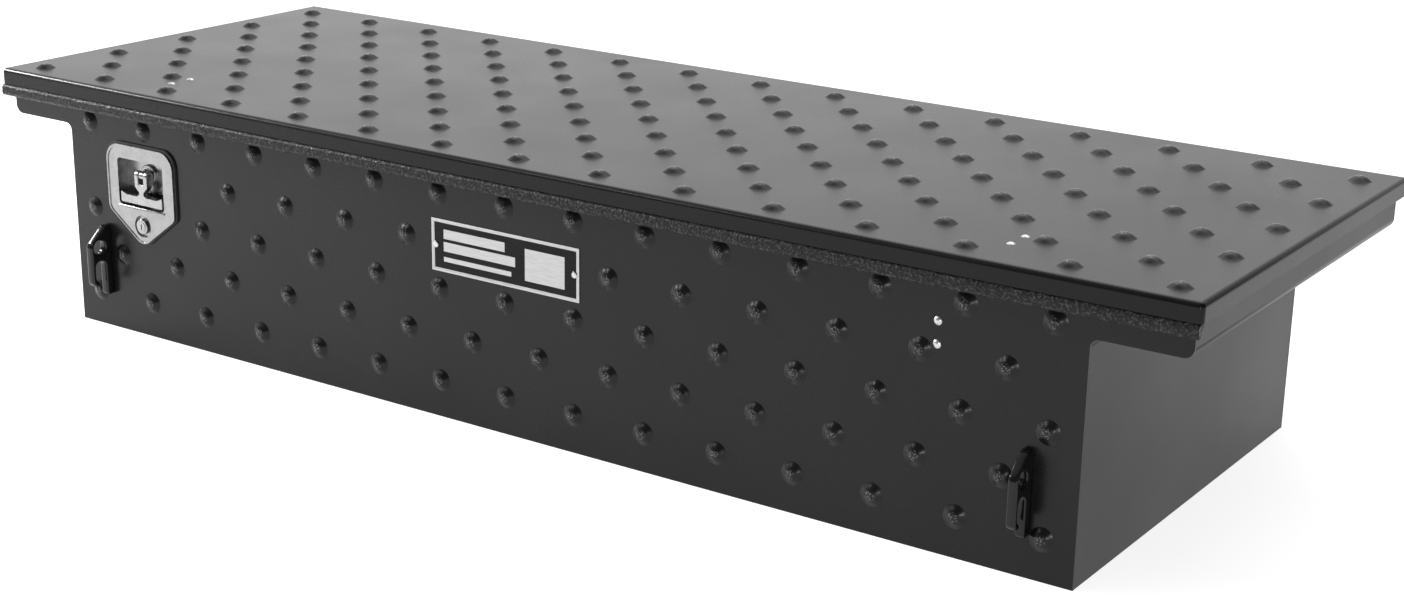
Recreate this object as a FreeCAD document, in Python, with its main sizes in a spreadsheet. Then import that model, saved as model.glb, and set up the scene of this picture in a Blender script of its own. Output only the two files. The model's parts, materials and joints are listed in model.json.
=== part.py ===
import FreeCAD, Part
import math
import os
import re
import Sketcher

# Crossover tool box for a pickup bed: a T-shaped sheet-metal tub whose two ears rest on the bed rails,
# and one lid with raised round bumps that turns on a piano hinge along the back.
# X runs along the box, Y from front to back, Z up. The origin is the middle of the tub's underside.

SIZES = {
    # whole box
    "box_height": 345,
    "sheet_gauge": 2.5,
    "lid_length": 1778,
    "lid_depth": 622,
    "lid_drop": 22,
    "lid_round": 6,
    "tub_length": 1533,
    "tub_depth": 604,
    "front_gap": 13,
    "ear_length": 1757,
    "ear_drop": 64,
    "ear_round": 12,
    "inner_round": 10,
    "rim_drop": 10,
    "rim_width": 20,
    # raised bumps, in a staggered grid of columns and rows
    "bump_radius": 14.5,
    "bump_cap": 11.2,
    "bump_skirt": 2,
    "bump_height": 6,
    "bump_columns": 29,
    "lid_bump_rows": 9,
    "lid_bump_step": 60.35,
    "lid_bump_row": 66.35,
    "lid_bump_margin": 46.4,
    "lid_bump_front": 38.9,
    "panel_bump_rows": 5,
    "panel_bump_step": 51.95,
    "panel_bump_row": 60.4,
    "panel_bump_top": 54.8,
    # seals
    "seal_drop": 17,
    "seal_bulge": 4,
    "seal_nose_depth": 9,
    "seal_grip_depth": 7,
    "seal_grip_height": 13,
    "seal_round": 5.5,
    "seal_end_gap": 7.5,
    "seal_nose_end_gap": 1.5,
    "rim_seal_width": 12,
    "rim_seal_height": 7,
    "rim_seal_inset": 4,
    "rim_seal_round": 3,
    # lid stiffener pan
    "stiffener_length": 1430,
    "stiffener_front": 185,
    "stiffener_back": 265,
    "stiffener_drop": 20,
    "stiffener_gauge": 2,
    # piano hinge
    "hinge_length": 1740,
    "hinge_axis_y": 311,
    "hinge_axis_z": 318,
    "knuckle_radius": 4,
    "knuckle_pitch": 60,
    "knuckle_gap": 0.5,
    "hinge_pin_radius": 2,
    "leaf_gauge": 2,
    "leaf_low": 285,
    "leaf_high": 338,
    "hinge_rivet_count": 12,
    "hinge_rivet_height": 295,
    "running_gap": 0.05,
    # strikers under the lid
    "striker_radius": 4,
    "striker_front": 66,
    "striker_foot_depth": 54,
    "striker_foot_width": 24,
    "striker_leg_width": 20,
    "striker_gauge": 3,
    "striker_bar_length": 26,
    "striker_rivet_front": 74,
    "striker_rivet_back": 108,
    # latch dish
    "latch_x": 629,
    "latch_half_width": 63.5,
    "latch_top": 268,
    "latch_shoulder": 176,
    "latch_point": 129,
    "latch_gauge": 1.5,
    "latch_top_round": 24,
    "latch_side_round": 12,
    "latch_point_round": 20,
    "latch_lip": 1.2,
    "latch_lip_width": 2.2,
    "gasket_gauge": 3,
    "gasket_margin": 3,
    "gasket_clearance": 1.8,
    "pocket_half_width": 43.5,
    "pocket_top": 249,
    "pocket_bottom": 184,
    "pocket_depth": 18,
    "pocket_round": 6,
    "pocket_bead": 1.6,
    "panel_clearance": 2,
    # key lock
    "lock_height": 158,
    "lock_dish_radius": 15.5,
    "lock_dish_depth": 4,
    "lock_flange_radius": 10.5,
    "lock_flange_height": 6.5,
    "lock_flange_round": 1,
    "lock_barrel_radius": 9.5,
    "lock_barrel_length": 28,
    "lock_plug_radius": 7,
    "lock_plug_length": 38.4,
    "lock_plug_proud": 7,
    "key_slot_width": 1.8,
    "key_slot_height": 8,
    "key_slot_depth": 23.9,
    "tongue_width": 14,
    "tongue_height": 32,
    "tongue_gauge": 2.5,
    # T-handle and spindle
    "spindle_height": 227.5,
    "spindle_radius": 6,
    "boss_radius": 14,
    "boss_height": 4,
    "pivot_depth": 296,
    "clevis_pin_radius": 2.5,
    "fork_width": 24,
    "fork_round": 6.5,
    "cheek_width": 7,
    "cheek_length": 11,
    "yoke_straight": 4,
    "yoke_drop": 7,
    "stem_width": 9,
    "stem_length": 3,
    "stem_foot": 9,
    "grip_length": 80,
    "grip_height": 12,
    "grip_flare": 4,
    "grip_flare_length": 11,
    "grip_depth": 10,
    "grip_bottom": 187.5,
    "grip_round": 3,
    "head_radius": 5.5,
    "head_width": 9,
    "collar_radius": 4.8,
    "collar_height": 1.2,
    # hooks, second latch and link rod
    "hook_reach": 74.5,
    "hook_width": 24,
    "hook_lip": 13,
    "hook_gauge": 5,
    "hook_hub_radius": 13,
    "hook_hub_height": 8,
    "hook_front": 262,
    "jaw_clearance": 1.8,
    "crank_radius": 25,
    "crank_width": 12,
    "crank_end_radius": 7,
    "crank_pin_radius": 3,
    "release_angle": 45,
    "nut_radius": 9,
    "nut_height": 5.5,
    "second_latch_x": 641,
    "second_rivet_x": 591,
    "second_rivet_high": 265,
    "second_rivet_low": 239,
    "bracket_gauge": 3,
    "bracket_height": 60,
    "bracket_margin": 16,
    "bracket_round": 5,
    "spacer_radius": 9,
    "clip_height": 1.5,
    "link_radius": 4,
    "link_overrun": 6,
    # tie-down cleats
    "cleat_x": 706,
    "cleat_gauge": 12.5,
    "cleat_base": 12,
    "cleat_reach": 35.5,
    "cleat_bottom": 48,
    "cleat_top": 148,
    "cleat_flat": 9,
    "cleat_slope": 24,
    "cleat_eye_radius": 10,
    "cleat_eye_height": 119,
    "cleat_slot_radius": 8.5,
    "cleat_slot_top": 91,
    "cleat_hook_low": 64,
    "cleat_bead": 6,
    "cleat_round": 9,
    "cleat_shoulder_round": 14,
    "cleat_soft_edge": 1.2,
    "screw_radius": 3,
    "screw_head_radius": 6,
    "screw_head_height": 4.5,
    "screw_depth": 8,
    "screw_low": 66,
    "screw_high": 132,
    # name plate and rivets
    "plate_length": 228,
    "plate_height": 67,
    "plate_middle": 225.5,
    "plate_gauge": 1.2,
    "plate_border": 3,
    "plate_sink": 0.4,
    "plate_rivet_inset": 7,
    "plate_rivet_radius": 4,
    "rivet_head": 5,
    "rivet_dome": 2,
    "rivet_shank": 2.4,
    "rivet_tail": 3.6,
    "rivet_tail_length": 2.5,
    # gas struts
    "strut_x": 742,
    "strut_low_y": 285,
    "strut_low_z": 243,
    "strut_high_y": 78,
    "strut_high_z": 312,
    "strut_tube_radius": 9,
    "strut_bore_radius": 7.5,
    "strut_rod_radius": 4,
    "strut_tube_start": 10,
    "strut_tube_end": 150,
    "strut_cap_length": 6,
    "strut_gland_length": 10,
    "strut_rod_start": 50,
    "strut_eye_radius": 8,
    "strut_eye_width": 10,
    "strut_neck_radius": 4.5,
    "stud_radius": 4,
    "stud_washer_radius": 8,
    "wall_plate_width": 30,
    "wall_plate_height": 44,
    "lid_bracket_width": 24,
    "lid_bracket_foot": 26,
    "lid_button_radius": 7,
    "lid_stud_gap": 0.5,
}

V = FreeCAD.Vector
X_AXIS = V(1, 0, 0)
Y_AXIS = V(0, 1, 0)
Z_AXIS = V(0, 0, 1)
ALONG_X = FreeCAD.Rotation(Y_AXIS, 90)
ALONG_Y = FreeCAD.Rotation(X_AXIS, -90)
ALONG_MINUS_X = FreeCAD.Rotation(Y_AXIS, -90)
ALONG_MINUS_Y = FreeCAD.Rotation(X_AXIS, 90)
THROUGH = 20
SIDES = (("left", -1), ("right", 1))

# Places used by several sub-parts, as formulas for the sheet
PANEL_FACE = "(front_gap - lid_depth / 2)"
PANEL_INSIDE = f"({PANEL_FACE} + sheet_gauge)"
TUB_BACK = f"({PANEL_FACE} + tub_depth)"
EAR_UNDERSIDE = "(box_height - ear_drop)"
RIM_TOP = "(box_height - rim_drop)"
SKIN_UNDERSIDE = "(box_height - sheet_gauge)"
DISH_FACE = f"({PANEL_FACE} - gasket_gauge - latch_gauge)"
POCKET_FLOOR = f"({DISH_FACE} + pocket_depth)"
LOCK_FLOOR = f"({DISH_FACE} + lock_dish_depth)"
HOOK_BACK = "(hook_gauge - hook_front)"
CLEAT_SLOT_Y = "(cleat_base + cleat_slot_radius)"

doc = FreeCAD.newDocument("TruckToolBox")
sheet = doc.addObject("Spreadsheet::Sheet", "Sizes")
probe = doc.addObject("App::FeaturePython", "Probe")
probe.addProperty("App::PropertyFloat", "Value")
subparts = []


# ---------------------------------------------------------------- helpers

def fill_sheet():
    for row, (alias, value) in enumerate(SIZES.items(), start=1):
        sheet.set(f"A{row}", alias)
        sheet.set(f"B{row}", str(value))
        sheet.setAlias(f"B{row}", alias)
    doc.recompute()


def formula(text):
    """Put the sheet's name before every alias, so that "lid_length / 2" reads the sheet's cell."""
    return re.sub(r"[a-z]+(?:_[a-z]+)+", lambda alias: "Sizes." + alias.group(), str(text))


def mm(text):
    """The present value of a formula."""
    probe.setExpression("Value", formula(text))
    probe.recompute()
    return probe.Value


def point(x, y, z):
    return V(mm(x), mm(y), mm(z))


def bind(thing, **sizes):
    for name, text in sizes.items():
        thing.setExpression(name, formula(text))


def put(thing, x=0, y=0, z=0):
    for axis, text in (("x", x), ("y", y), ("z", z)):
        thing.setExpression("Placement.Base." + axis, formula(text))
    return thing


def keep(label, thing):
    """Make this object a sub-part: its label names its file."""
    thing.Label = label
    subparts.append(thing)
    return thing


def box(size, corner):
    thing = doc.addObject("Part::Box", "Block")
    bind(thing, Length=size[0], Width=size[1], Height=size[2])
    return put(thing, *corner)


def cylinder(radius, length, start, turn):
    thing = doc.addObject("Part::Cylinder", "Round")
    bind(thing, Radius=radius, Height=length)
    thing.Placement = FreeCAD.Placement(V(), turn)
    return put(thing, *start)


def fuse(*pieces):
    thing = doc.addObject("Part::MultiFuse", "Join")
    thing.Shapes = list(pieces)
    thing.Refine = True
    return thing


def group(pieces):
    """Separate solids kept side by side, such as a set of equal rivets."""
    thing = doc.addObject("Part::Compound", "Set")
    thing.Links = list(pieces)
    return thing


def cut(base, *tools):
    thing = doc.addObject("Part::Cut", "Remainder")
    thing.Base = base
    thing.Tool = tools[0] if len(tools) == 1 else fuse(*tools)
    thing.Refine = True
    return thing


def fixed_shape(shape):
    """An object for a shape worked out from the sheet's sizes, where no primitive or sketch fits."""
    thing = doc.addObject("Part::Feature", "Shape")
    thing.Shape = shape
    return thing


def chosen_edges(shape, wanted):
    """Numbers of the edges whose middle point and end-to-end line pass the test."""
    numbers = []
    for index, edge in enumerate(shape.Edges, start=1):
        middle = edge.valueAt((edge.FirstParameter + edge.LastParameter) / 2)
        ends = edge.Vertexes
        line = ends[-1].Point - ends[0].Point
        if wanted(middle, line):
            numbers.append(index)
    if not numbers:
        raise RuntimeError("no edge to round")
    return numbers


def rounded(base, radius, wanted):
    """Round the chosen edges of any object."""
    doc.recompute()
    thing = doc.addObject("Part::Fillet", "Rounding")
    thing.Base = base
    size = mm(radius)
    thing.Edges = [(index, size, size) for index in chosen_edges(base.Shape, wanted)]
    return thing


def round_body(body, radius, wanted):
    """Round the chosen edges of a PartDesign body; the radius stays bound to the sheet."""
    doc.recompute()
    tip = body.Tip
    names = [f"Edge{index}" for index in chosen_edges(tip.Shape, wanted)]
    thing = body.newObject("PartDesign::Fillet", "Rounding")
    thing.Base = (tip, names)
    bind(thing, Radius=radius)
    body.Tip = thing
    return body


def runs_along(line, axis):
    return line.Length > 0 and abs(line.dot(axis)) > 0.999 * line.Length


def corner_at(axis, x=None, y=None, z=None):
    """A test for edges along an axis that pass through the given place."""
    def wanted(middle, line):
        near = runs_along(line, axis)
        for here, there in ((middle.x, x), (middle.y, y), (middle.z, z)):
            near = near and (there is None or abs(here - there) < 0.1)
        return near
    return wanted


def outline_body(plane_role, corners, thickness):
    """A PartDesign body: a closed outline with every corner bound to the sheet, padded to a thickness.
    The pad runs towards -Y from the XZ plane and towards +X from the YZ plane."""
    body = doc.addObject("PartDesign::Body", "Body")
    sketch = body.newObject("Sketcher::SketchObject", "Outline")
    plane = [feature for feature in body.Origin.OriginFeatures if feature.Role == plane_role][0]
    sketch.AttachmentSupport = (plane, [""])
    sketch.MapMode = "FlatFace"
    drawn = [V(mm(across), mm(up), 0) for across, up in corners]
    for index, start in enumerate(drawn):
        sketch.addGeometry(Part.LineSegment(start, drawn[(index + 1) % len(drawn)]), False)
    for index in range(len(drawn)):
        sketch.addConstraint(Sketcher.Constraint("Coincident", index, 2, (index + 1) % len(drawn), 1))
    for index, (across, up) in enumerate(corners):
        hold_corner(sketch, index, "DistanceX", across, drawn[index].x)
        hold_corner(sketch, index, "DistanceY", up, drawn[index].y)
    pad = body.newObject("PartDesign::Pad", "Pad")
    pad.Profile = sketch
    bind(pad, Length=thickness)
    return body


def hold_corner(sketch, index, kind, text, value):
    """Tie one coordinate of a corner to its formula, or to the axis when it lies on it."""
    if abs(value) < 1e-6:
        other_axis = -2 if kind == "DistanceX" else -1
        sketch.addConstraint(Sketcher.Constraint("PointOnObject", index, 1, other_axis))
    else:
        place = sketch.addConstraint(Sketcher.Constraint(kind, -1, 1, index, 1, value))
        sketch.setExpression(f"Constraints[{place}]", formula(text))


def rivet_holes(places, turn=ALONG_Y):
    """Shank-sized drillings centred on (x, y, z) formulas."""
    holes = []
    for x, y, z in places:
        start = (x, f"{y} - {THROUGH} / 2", z) if turn == ALONG_Y else (x, y, f"{z} - {THROUGH} / 2")
        holes.append(cylinder("rivet_shank", THROUGH, start, turn))
    return holes


def rivet(place, outward, grip):
    """A blind rivet: domed head outside, shank through the sheets, swollen tail inside."""
    head = mm("rivet_head")
    rise = mm("rivet_dome")
    ball_radius = (head ** 2 + rise ** 2) / (2 * rise)
    ball = Part.makeSphere(ball_radius, V(0, 0, rise - ball_radius))
    cap = ball.common(Part.makeCylinder(head, rise))
    shank = Part.makeCylinder(mm("rivet_shank"), mm(grip), V(0, 0, -mm(grip)))
    tail_length = mm("rivet_tail_length")
    tail = Part.makeCylinder(mm("rivet_tail"), tail_length, V(0, 0, -mm(grip) - tail_length))
    thing = fixed_shape(cap.fuse([shank, tail]))
    thing.Placement = FreeCAD.Placement(point(*place), FreeCAD.Rotation(Z_AXIS, outward))
    return thing


# ---------------------------------------------------------------- raised bumps

def bump():
    """One raised bump on the plane z = 0: a sloping skirt under a domed cap, sunk a little for the joint."""
    base = mm("bump_radius")
    cap = mm("bump_cap")
    skirt = mm("bump_skirt")
    top = mm("bump_height")
    sunk = 0.4
    rise = top - skirt
    dome = (cap ** 2 + rise ** 2) / (2 * rise)
    half_turn = math.asin(cap / dome) / 2
    shoulder = V(dome * math.sin(half_turn), 0, top - dome + dome * math.cos(half_turn))
    edges = [
        Part.makeLine(V(0, 0, -sunk), V(base, 0, -sunk)),
        Part.makeLine(V(base, 0, -sunk), V(base, 0, 0)),
        Part.makeLine(V(base, 0, 0), V(cap, 0, skirt)),
        Part.Arc(V(cap, 0, skirt), shoulder, V(0, 0, top)).toShape(),
        Part.makeLine(V(0, 0, top), V(0, 0, -sunk)),
    ]
    return Part.Face(Part.Wire(edges)).revolve(V(), Z_AXIS, 360)


def bump_grid(places, outward):
    bumps = []
    for place in places:
        one = bump()
        one.Placement = FreeCAD.Placement(place, FreeCAD.Rotation(Z_AXIS, outward))
        bumps.append(one)
    return fixed_shape(Part.makeCompound(bumps))


def staggered(rows):
    """Column and row numbers of a staggered grid."""
    columns = int(mm("bump_columns"))
    return [(i, j) for i in range(columns) for j in range(int(mm(rows))) if (i + j) % 2 == 0]


def lid_bump_places():
    first = point("lid_bump_margin - lid_length / 2", "lid_bump_front - lid_depth / 2", "box_height")
    step = mm("lid_bump_step")
    row = mm("lid_bump_row")
    return [first + V(i * step, j * row, 0) for i, j in staggered("lid_bump_rows")]


def panel_bump_places():
    """Bumps on the front panel, left out where the latch or the name plate lies flat."""
    top = mm("box_height - panel_bump_top")
    middle_column = (mm("bump_columns") - 1) / 2
    places = []
    for i, j in staggered("panel_bump_rows"):
        x = (i - middle_column) * mm("panel_bump_step")
        z = top - j * mm("panel_bump_row")
        beside_latch = abs(x + mm("latch_x")) > mm("latch_half_width")
        clear_of_latch = beside_latch or not mm("latch_point") < z < mm("latch_top")
        beside_plate = abs(x) > mm("plate_length") / 2
        clear_of_plate = beside_plate or abs(z - mm("plate_middle")) > mm("plate_height") / 2
        if clear_of_latch and clear_of_plate:
            places.append(V(x, mm(PANEL_FACE), z))
    return places


# ---------------------------------------------------------------- lid

def striker_rivet_places():
    """Two rivets, one behind the other, above each striker."""
    return [(x, f"{back} - lid_depth / 2", "box_height")
            for x in ("-latch_x", "second_latch_x") for back in ("striker_rivet_front", "striker_rivet_back")]


def lid_skin():
    """Folded sheet with its edge turned down on all four sides, and the bumps raised in it."""
    low = "(box_height - lid_drop)"
    outer = box(("lid_length", "lid_depth", "lid_drop"), ("-lid_length / 2", "-lid_depth / 2", low))
    inner = box(("lid_length - 2 * sheet_gauge", "lid_depth - 2 * sheet_gauge", "lid_drop - sheet_gauge"),
                ("sheet_gauge - lid_length / 2", "sheet_gauge - lid_depth / 2", low))
    above_rim = mm(low) + 0.1
    outer = rounded(outer, "lid_round", lambda middle, line: middle.z > above_rim)
    inner = rounded(inner, "lid_round - sheet_gauge", lambda middle, line: middle.z > above_rim)
    bumps = bump_grid(lid_bump_places(), Z_AXIS)
    holes = rivet_holes(striker_rivet_places(), FreeCAD.Rotation())
    keep("lid_skin", cut(fuse(cut(outer, inner), bumps), *holes))


def lid_stiffener():
    """A shallow pan bonded under the skin, behind the strikers and between the struts."""
    depth = "stiffener_front + stiffener_back"
    bottom = f"({SKIN_UNDERSIDE} - stiffener_drop)"
    outer = box(("stiffener_length", depth, "stiffener_drop"),
                ("-stiffener_length / 2", "-stiffener_front", bottom))
    inner = box(("stiffener_length - 2 * stiffener_gauge", f"{depth} - 2 * stiffener_gauge", "stiffener_drop"),
                ("stiffener_gauge - stiffener_length / 2", "stiffener_gauge - stiffener_front",
                 f"{bottom} + stiffener_gauge"))
    keep("lid_stiffener", cut(outer, inner))


def lid_front_seal():
    """Rough rubber strip: a rounded nose under the lid's front edge and a grip behind that edge."""
    front = "(-lid_depth / 2)"
    flange = "(box_height - lid_drop)"
    nose_front = f"({front} - seal_bulge)"
    nose = box(("lid_length - 2 * seal_nose_end_gap", "seal_bulge + seal_nose_depth", "seal_drop"),
               ("seal_nose_end_gap - lid_length / 2", nose_front, f"{flange} - seal_drop"))
    nose = rounded(nose, "seal_round", corner_at(X_AXIS, y=mm(nose_front)))
    grip = box(("lid_length - 2 * seal_end_gap", "seal_grip_depth - sheet_gauge", "seal_grip_height"),
               ("seal_end_gap - lid_length / 2", f"{front} + sheet_gauge", flange))
    keep("lid_front_seal", fuse(nose, grip))


def striker(side, x):
    """A bracket under the lid that carries a short bar for the hook to hold."""
    front = "(striker_front - lid_depth / 2)"
    bar_height = "(spindle_height + hook_reach)"
    leg_low = f"({bar_height} - 2 * striker_radius)"
    foot = box(("striker_foot_width", "striker_foot_depth", "striker_gauge"),
               (f"{x} - striker_foot_width / 2", front, f"{SKIN_UNDERSIDE} - striker_gauge"))
    leg = box(("striker_leg_width", "striker_gauge", f"{SKIN_UNDERSIDE} - {leg_low}"),
              (f"{x} - striker_leg_width / 2", front, leg_low))
    bar = cylinder("striker_radius", "striker_bar_length", (x, f"{front} + 1", bar_height), ALONG_MINUS_Y)
    holes = rivet_holes(striker_rivet_places(), FreeCAD.Rotation())
    keep(f"striker_{side}", cut(fuse(foot, leg, bar), *holes))


def striker_rivets():
    grip = "sheet_gauge + striker_gauge"
    keep("striker_rivets", group([rivet(place, Z_AXIS, grip) for place in striker_rivet_places()]))


# ---------------------------------------------------------------- tub

def tee_panel(back):
    """Flat T-shaped sheet, ears included, with its back face at the given place."""
    foot = "tub_length / 2"
    ear = "ear_length / 2"
    outline = [(foot, 0), (foot, EAR_UNDERSIDE), (ear, EAR_UNDERSIDE), (ear, RIM_TOP),
               (f"-{ear}", RIM_TOP), (f"-{ear}", EAR_UNDERSIDE), (f"-{foot}", EAR_UNDERSIDE), (f"-{foot}", 0)]
    body = outline_body("XZ_Plane", outline, "sheet_gauge")
    shelf = mm(EAR_UNDERSIDE)
    for radius, x in (("inner_round", mm(foot)), ("ear_round", mm(ear))):
        body = round_body(body, radius, lambda middle, line, x=x: corner_at(Y_AXIS, z=shelf)(middle, line)
                          and abs(abs(middle.x) - x) < 0.1)
    return put(body, y=back)


def rim_lip(front):
    """The panel's top edge, turned in over the tub."""
    return box(("ear_length", "rim_width - sheet_gauge / 2", "sheet_gauge"),
               ("-ear_length / 2", front, f"{RIM_TOP} - sheet_gauge"))


def second_rivet_places():
    return [("second_rivet_x", PANEL_FACE, z) for z in ("second_rivet_high", "second_rivet_low")]


def plate_rivet_places():
    return [(f"{sign} * (plate_length / 2 - plate_rivet_inset)", PANEL_FACE, "plate_middle")
            for _, sign in SIDES]


def cleat_screw_places(sides=SIDES):
    return [(f"{sign} * cleat_x", PANEL_FACE, z) for _, sign in sides for z in ("screw_low", "screw_high")]


def front_panel():
    """The bumped front sheet, with openings for the latch's pocket and lock and for every fastener."""
    sheet_metal = fuse(tee_panel(PANEL_INSIDE), rim_lip(f"{PANEL_FACE} + sheet_gauge / 2"))
    bumps = bump_grid(panel_bump_places(), -Y_AXIS)
    hollows = put(bump_grid(panel_bump_places(), -Y_AXIS), y="sheet_gauge")
    lock_opening = cylinder("lock_dish_radius + panel_clearance", THROUGH,
                            ("-latch_x", f"{PANEL_FACE} - {THROUGH} / 2", "lock_height"), ALONG_Y)
    screw_holes = [cylinder("screw_radius", THROUGH, (x, f"{y} - {THROUGH} / 2", z), ALONG_Y)
                   for x, y, z in cleat_screw_places()]
    pocket_opening = pocket_block("panel_clearance", f"{PANEL_FACE} - {THROUGH} / 2", THROUGH)
    holes = rivet_holes(second_rivet_places() + plate_rivet_places())
    keep("front_panel", cut(fuse(sheet_metal, bumps), hollows, lock_opening, pocket_opening,
                            *screw_holes, *holes))


def hinge_rivet_places():
    middle = (mm("hinge_rivet_count") - 1) / 2
    return [(f"{index - middle} * hinge_length / hinge_rivet_count", f"({TUB_BACK} + leaf_gauge)",
             "hinge_rivet_height") for index in range(int(mm("hinge_rivet_count")))]


def rear_panel():
    sheet_metal = fuse(tee_panel(TUB_BACK), rim_lip(f"{TUB_BACK} - rim_width"))
    keep("rear_panel", cut(sheet_metal, *rivet_holes(hinge_rivet_places())))


def end_panel(side, sign):
    """End wall, shelf over the bed rail and ear end in one folded sheet, with its rim turned in."""
    foot = f"{sign} * tub_length / 2"
    ear = f"{sign} * ear_length / 2"
    foot_inside = f"{sign} * (tub_length / 2 - sheet_gauge)"
    ear_inside = f"{sign} * (ear_length / 2 - sheet_gauge)"
    rim = f"{RIM_TOP} - sheet_gauge"
    shelf_top = f"{EAR_UNDERSIDE} + sheet_gauge"
    outline = [(foot, 0), (foot, EAR_UNDERSIDE), (ear, EAR_UNDERSIDE), (ear, rim),
               (ear_inside, rim), (ear_inside, shelf_top), (foot_inside, shelf_top), (foot_inside, 0)]
    strip = outline_body("XZ_Plane", outline, "tub_depth - 2 * sheet_gauge")
    bends = (("inner_round", foot, EAR_UNDERSIDE), ("inner_round + sheet_gauge", foot_inside, shelf_top),
             ("ear_round", ear, EAR_UNDERSIDE), ("ear_round - sheet_gauge", ear_inside, shelf_top))
    for radius, x, z in bends:
        strip = round_body(strip, radius, corner_at(Y_AXIS, x=mm(x), z=mm(z)))
    put(strip, y=f"{TUB_BACK} - sheet_gauge")
    lip_start = "ear_length / 2 - rim_width" if sign > 0 else "-ear_length / 2"
    lip = box(("rim_width", "tub_depth - 2 * rim_width", "sheet_gauge"),
              (lip_start, f"{PANEL_FACE} + rim_width", rim))
    keep(f"end_panel_{side}", fuse(strip, lip))


def tub_floor():
    keep("tub_floor", box(
        ("tub_length - 2 * sheet_gauge", "tub_depth - 2 * sheet_gauge", "sheet_gauge"),
        ("sheet_gauge - tub_length / 2", PANEL_INSIDE, 0)))


def rim_seal():
    """Soft strip all round the rim, a hair lower than the lid's underside."""
    length = "(ear_length - 2 * rim_seal_inset)"
    depth = "(tub_depth - 2 * rim_seal_inset)"
    outer = box((length, depth, "rim_seal_height"),
                (f"-{length} / 2", f"{PANEL_FACE} + rim_seal_inset", RIM_TOP))
    inner = box((f"{length} - 2 * rim_seal_width", f"{depth} - 2 * rim_seal_width", "rim_seal_height"),
                (f"rim_seal_width - {length} / 2", f"{PANEL_FACE} + rim_seal_inset + rim_seal_width", RIM_TOP))
    near_top = mm(f"{RIM_TOP} + rim_seal_height") - 0.1
    keep("rim_seal", rounded(cut(outer, inner), "rim_seal_round", lambda middle, line: middle.z > near_top))


# ---------------------------------------------------------------- piano hinge

def hinge_leaf(front, low, high, first):
    """A leaf with every other knuckle, each joined to the plate by a short tab."""
    plate = box(("hinge_length", "leaf_gauge", f"{high} - {low}"), ("-hinge_length / 2", front, low))
    pieces = [plate]
    width = "(knuckle_pitch / 2 - knuckle_gap)"
    tab_low = "hinge_axis_z" if first else f"({high})"
    for index in range(int(mm("hinge_length / knuckle_pitch"))):
        x = f"(({index} + {first} / 2) * knuckle_pitch + knuckle_gap / 2 - hinge_length / 2)"
        pieces.append(cylinder("knuckle_radius", width, (x, "hinge_axis_y", "hinge_axis_z"), ALONG_X))
        pieces.append(box((width, "leaf_gauge", "knuckle_radius"), (x, front, tab_low)))
    bore = cylinder("hinge_pin_radius + running_gap", f"hinge_length + {THROUGH}",
                    (f"-hinge_length / 2 - {THROUGH} / 2", "hinge_axis_y", "hinge_axis_z"), ALONG_X)
    return cut(fuse(*pieces), bore)


def piano_hinge():
    """Full-length hinge: a leaf on the tub's back, a leaf inside the lid's back edge, and one long pin."""
    tub_leaf = hinge_leaf(TUB_BACK, "leaf_low", "(hinge_axis_z - knuckle_radius)", 0)
    keep("hinge_leaf_tub", cut(tub_leaf, *rivet_holes(hinge_rivet_places())))
    keep("hinge_leaf_lid", hinge_leaf("(lid_depth / 2 - sheet_gauge - leaf_gauge)",
                                      "(hinge_axis_z + knuckle_radius)", "leaf_high", 1))
    keep("hinge_pin", cylinder("hinge_pin_radius", "hinge_length",
                               ("-hinge_length / 2", "hinge_axis_y", "hinge_axis_z"), ALONG_X))
    rivets = [rivet(place, Y_AXIS, "leaf_gauge + sheet_gauge") for place in hinge_rivet_places()]
    keep("hinge_rivets", group(rivets))


# ---------------------------------------------------------------- latch at the left

def latch_plate(back, gauge, margin="0"):
    """Five-sided plate: square above, pointed below, every corner rounded."""
    half = f"(latch_half_width + {margin})"
    outline = [(f"-latch_x - {half}", f"latch_top + {margin}"), (f"{half} - latch_x", f"latch_top + {margin}"),
               (f"{half} - latch_x", "latch_shoulder"), ("-latch_x", f"latch_point - {margin}"),
               (f"-latch_x - {half}", "latch_shoulder")]
    plate = outline_body("XZ_Plane", outline, gauge)
    for radius, height in (("latch_top_round", f"latch_top + {margin}"), ("latch_side_round", "latch_shoulder"),
                           ("latch_point_round", f"latch_point - {margin}")):
        plate = round_body(plate, radius, corner_at(Y_AXIS, z=mm(height)))
    return put(plate, y=back)


def pocket_block(margin, front, depth):
    """The block that the handle pocket takes up, grown by a margin."""
    block = box((f"2 * (pocket_half_width + {margin})", depth, f"pocket_top - pocket_bottom + 2 * {margin}"),
                (f"-latch_x - pocket_half_width - {margin}", front, f"pocket_bottom - {margin}"))
    return rounded(block, f"pocket_round + {margin}", corner_at(Y_AXIS))


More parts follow.
